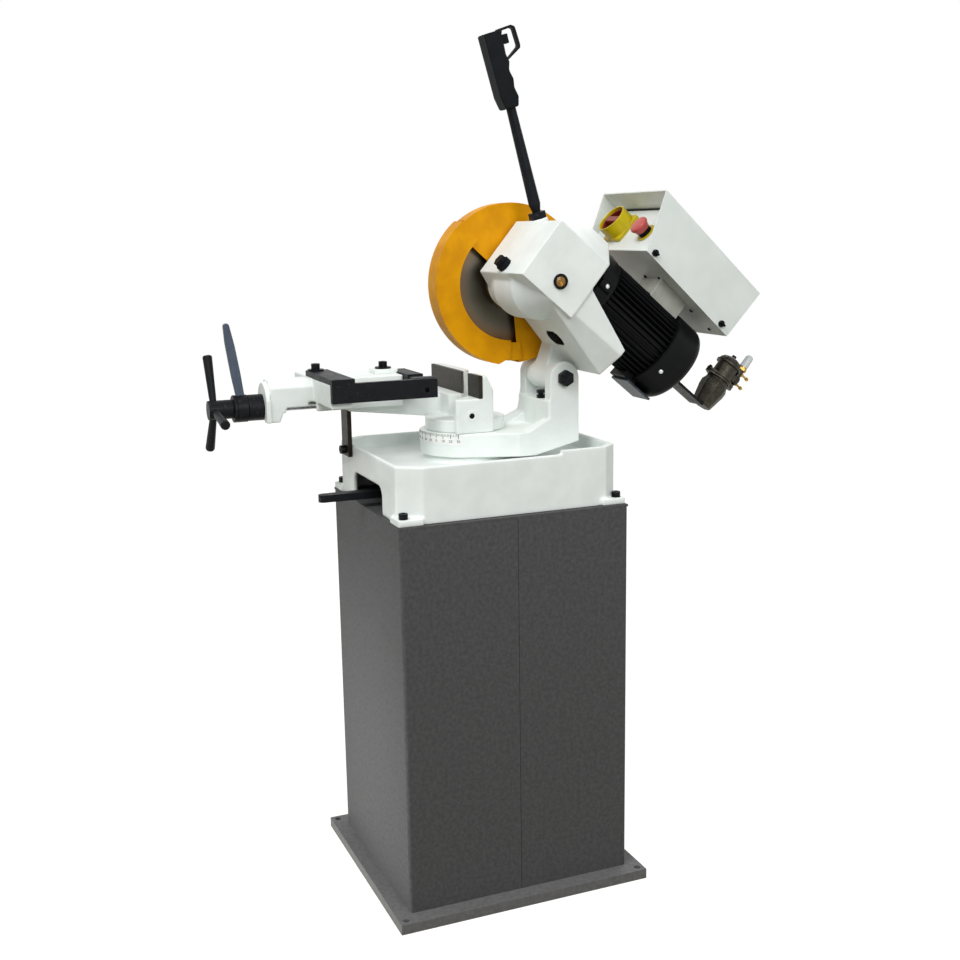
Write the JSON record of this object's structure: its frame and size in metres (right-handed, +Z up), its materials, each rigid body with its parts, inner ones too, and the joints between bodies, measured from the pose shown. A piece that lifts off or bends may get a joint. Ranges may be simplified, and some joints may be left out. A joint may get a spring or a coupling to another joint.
{
  "type": "cold saw",
  "caption": "Metal-cutting cold saw on a cabinet stand: round blade in yellow guards on a pivoting gearbox head with motor and handle, over a screw vise.",
  "frame": {"origin": "on the floor, at the middle of the four floor bolt holes", "axes": "+Z up, +Y to the rear of the machine, +X to the machine's right as its user faces it"},
  "size_m": [0.452, 1.0028, 1.5423],
  "materials": {
    "stand_paint": "satin",
    "white_casting": "satin",
    "white_sheet": "satin",
    "white_aluminium": "satin",
    "yellow_guard": "gloss",
    "black_steel": "satin",
    "black_screws": "satin",
    "jaw_steel": "satin",
    "plain_steel": "satin",
    "blade_steel": "satin",
    "bronze": "satin",
    "copper_winding": "matte",
    "motor_black": "satin",
    "black_plastic": "matte",
    "grey_plastic": "matte",
    "light_grey": "matte",
    "lever_grey": "satin",
    "yellow_plastic": "gloss",
    "red_plastic": "gloss",
    "dark_red_plastic": "gloss",
    "amber_glass": "gloss",
    "tank_sheet": "satin",
    "scale_white": "satin"
  },
  "bodies": {
    "stand": {"floor_plate": "stand_paint", "stand_front_shell": "stand_paint", "stand_rear_shell": "stand_paint", "stand_top_sheet": "stand_paint", "coolant_tank": "tank_sheet", "base_tray": "white_casting", "tray_bolts": "black_screws", "swivel_post": "plain_steel", "vise_base": "white_casting", "fixed_jaw_plates": "jaw_steel", "jaw_plate_screws": "black_screws", "vise_strut": "jaw_steel", "strut_bolt": "black_screws", "vise_nut": "bronze"},
    "swivel": {"swivel_arm": "white_casting", "angle_scale": "scale_white", "pivot_bolt": "black_screws", "stop_screw": "black_screws"},
    "lock_lever": {"swivel_lock_lever": "black_steel"},
    "vise_slide": {"vise_slide": "white_casting", "near_jaw_arm": "black_steel", "far_jaw_block": "black_steel", "jaw_arm_bolts": "black_screws", "clamp_housing": "black_steel"},
    "vise_screw": {"vise_screw": "plain_steel", "handwheel_hub": "black_steel", "handwheel_spokes": "black_steel"},
    "clamp_lever": {"clamp_lever": "lever_grey"},
    "head": {"gearbox_casting": "white_aluminium", "spindle_cover": "white_aluminium", "spindle_bearings": "plain_steel", "fixed_guard": "yellow_guard", "filler_cap": "black_plastic", "sight_glass_ring": "black_plastic", "sight_glass": "amber_glass", "handle_nut": "black_steel", "handle_rod": "black_steel", "grip_left": "black_plastic", "grip_right": "black_plastic", "motor_housing": "motor_black", "motor_stator": "copper_winding", "fan_cover": "motor_black", "terminal_block": "light_grey", "electric_box": "white_sheet", "switch_plate": "yellow_plastic", "estop_collar": "yellow_plastic", "box_screws": "black_plastic", "pump_bracket": "black_steel", "coolant_pump": "grey_plastic"},
    "rotor": {"motor_rotor": "plain_steel", "motor_fan": "black_plastic"},
    "spindle": {"spindle": "plain_steel", "worm_wheel": "bronze", "blade": "blade_steel", "blade_flange": "plain_steel", "blade_bolt": "black_screws"},
    "moving_guard": {"moving_guard": "yellow_guard"},
    "trigger": {"trigger": "black_plastic"},
    "switch_knob": {"switch_knob": "dark_red_plastic"},
    "estop_button": {"estop_button": "red_plastic"}
  },
  "joints": [
    {"name": "swivel_turn", "type": "hinge", "parent": "stand", "child": "swivel", "pos_m": [0, -0.018, 0.827], "axis": [0, 0, 1], "range_deg": [0, 45]},
    {"name": "lock_lever_turn", "type": "hinge", "parent": "stand", "child": "lock_lever", "pos_m": [0, -0.018, 0.742], "axis": [0, 0, 1], "range_deg": [-18, 18]},
    {"name": "vise_travel", "type": "slide", "parent": "stand", "child": "vise_slide", "axis": [0, -1, 0], "range_m": [-0.071, 0.03]},
    {"name": "vise_screw_turn", "type": "hinge", "parent": "vise_slide", "child": "vise_screw", "pos_m": [-0.092, -0.447, 0.8991], "axis": [0, 1, 0], "range_deg": [-5400, 2400]},
    {"name": "clamp_lever_turn", "type": "hinge", "parent": "vise_slide", "child": "clamp_lever", "pos_m": [-0.092, -0.413, 0.8991], "axis": [0, 1, 0], "range_deg": [0, 90]},
    {"name": "head_lower", "type": "hinge", "parent": "swivel", "child": "head", "pos_m": [0.03, 0.132, 0.942], "axis": [1, 0, 0], "range_deg": [0, 40]},
    {"name": "motor_spin", "type": "hinge", "parent": "head", "child": "rotor", "pos_m": [0.11, 0.22662, 1.05476], "axis": [0, 0.766, -0.6428], "continuous": true},
    {"name": "blade_spin", "type": "hinge", "parent": "head", "child": "spindle", "pos_m": [0, 0.07031, 1.1076], "axis": [1, 0, 0], "continuous": true},
    {"name": "guard_swing", "type": "hinge", "parent": "head", "child": "moving_guard", "pos_m": [0, 0.07031, 1.1076], "axis": [1, 0, 0], "range_deg": [-120, 0]},
    {"name": "trigger_press", "type": "slide", "parent": "head", "child": "trigger", "axis": [0, -0.9659, -0.2588], "range_m": [0, 0.004], "stiffness_N_per_m": 600, "springref_m": -0.002},
    {"name": "switch_turn", "type": "hinge", "parent": "head", "child": "switch_knob", "pos_m": [0.03, 0.28567, 1.20506], "axis": [0, -0.7314, 0.682], "range_deg": [0, 90]},
    {"name": "estop_press", "type": "slide", "parent": "head", "child": "estop_button", "axis": [0, 0.7314, -0.682], "range_m": [0, 0.005], "stiffness_N_per_m": 1200, "springref_m": -0.002}
  ],
  "couplings": [
    {"joint": "blade_spin", "follows": "motor_spin", "ratio": 0.05},
    {"joint": "guard_swing", "follows": "head_lower", "ratio": -3},
    {"joint": "vise_screw_turn", "follows": "vise_travel", "rad_per_m": 1256.6}
  ]
}
